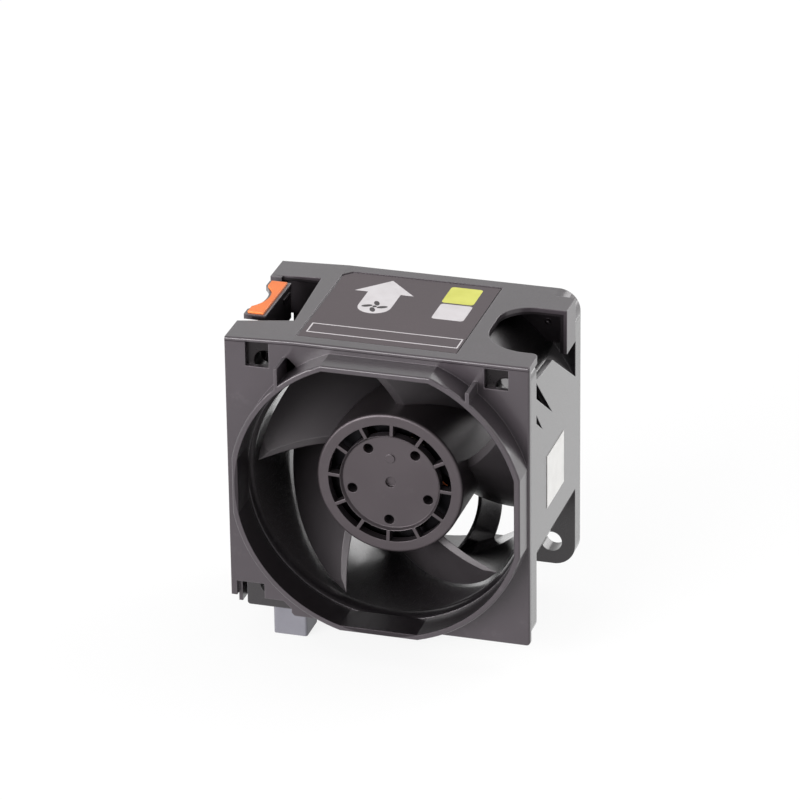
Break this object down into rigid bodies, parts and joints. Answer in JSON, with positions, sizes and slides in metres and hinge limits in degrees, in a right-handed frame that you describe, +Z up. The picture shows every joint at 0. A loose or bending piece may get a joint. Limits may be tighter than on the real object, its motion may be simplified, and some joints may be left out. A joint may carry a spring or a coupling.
{
  "type": "server fan module",
  "caption": "Boxy axial fan in a plastic carrier with a round inlet collar, a sprung side latch, a finger grip and a plug-in connector below.",
  "frame": {"origin": "on the fan's axis, in the rear face of the outlet flange, at the centre of its four mounting holes", "axes": "+X to the right seen from the inlet, +Y along the airflow from inlet to outlet, +Z up, away from the connector"},
  "size_m": [0.064, 0.0451, 0.0675],
  "materials": {
    "carrier_plastic": "fine-grained dark grey moulded plastic",
    "top_label": "dark printed film with pale print",
    "side_label": "blank white sticker",
    "connector_plastic": "dark grey moulded plastic",
    "contact_metal": "bright spring metal",
    "latch_pad": "soft orange moulded plastic",
    "fan_plastic": "near-black glass-filled plastic",
    "impeller_plastic": "near-black moulded plastic",
    "tube_brass": "turned brass",
    "bearing_steel": "ground and polished steel",
    "core_steel": "stacked electrical sheet",
    "cup_steel": "drawn plated steel",
    "insulator_plastic": "natural moulded nylon",
    "copper_wire": "enamelled copper wire",
    "circuit_board": "green lacquered board",
    "chip_plastic": "black moulded packages",
    "capacitor_can": "plain can",
    "magnet": "rubber-bonded ferrite"
  },
  "bodies": {
    "module": {"carrier": "carrier_plastic", "connector_bracket": "carrier_plastic", "top_label": "top_label", "side_label": "side_label", "connector_housing": "connector_plastic", "connector_contacts": "contact_metal", "terminal_pins": "contact_metal", "fan_housing": "fan_plastic", "motor_base": "fan_plastic", "outlet_vanes": "fan_plastic", "bearing_tube": "tube_brass", "front_bearing_outer_ring": "bearing_steel", "rear_bearing_outer_ring": "bearing_steel", "bearing_shields": "bearing_steel", "stator_core": "core_steel", "front_insulator": "insulator_plastic", "rear_insulator": "insulator_plastic", "windings": "copper_wire", "circuit_board": "circuit_board", "driver_chips": "chip_plastic", "hall_sensor": "chip_plastic", "board_capacitors": "capacitor_can"},
    "rotor": {"impeller": "impeller_plastic", "fan_blades": "impeller_plastic", "rotor_cup": "cup_steel", "magnet_ring": "magnet", "shaft_boss": "tube_brass", "shaft": "bearing_steel", "retaining_clip": "insulator_plastic", "preload_spring": "cup_steel", "front_bearing_inner_ring": "bearing_steel", "rear_bearing_inner_ring": "bearing_steel"},
    "bearing_ball_sets": {"bearing_balls": "bearing_steel"},
    "latch": {"latch_arm": "carrier_plastic", "latch_pad": "latch_pad"}
  },
  "joints": [
    {"name": "rotor_spin", "type": "hinge", "parent": "module", "child": "rotor", "pos_m": [0, -0.02, 0], "axis": [0, -1, 0], "continuous": true},
    {"name": "ball_orbit", "type": "hinge", "parent": "module", "child": "bearing_ball_sets", "pos_m": [0, -0.017, 0], "axis": [0, -1, 0], "continuous": true},
    {"name": "latch_press", "type": "hinge", "parent": "module", "child": "latch", "pos_m": [-0.031, -0.0172, 0.012], "axis": [0, 1, 0], "range_deg": [0, 8], "stiffness_Nm_per_rad": 0.05}
  ],
  "couplings": [
    {"joint": "ball_orbit", "follows": "rotor_spin", "ratio": 0.4}
  ]
}
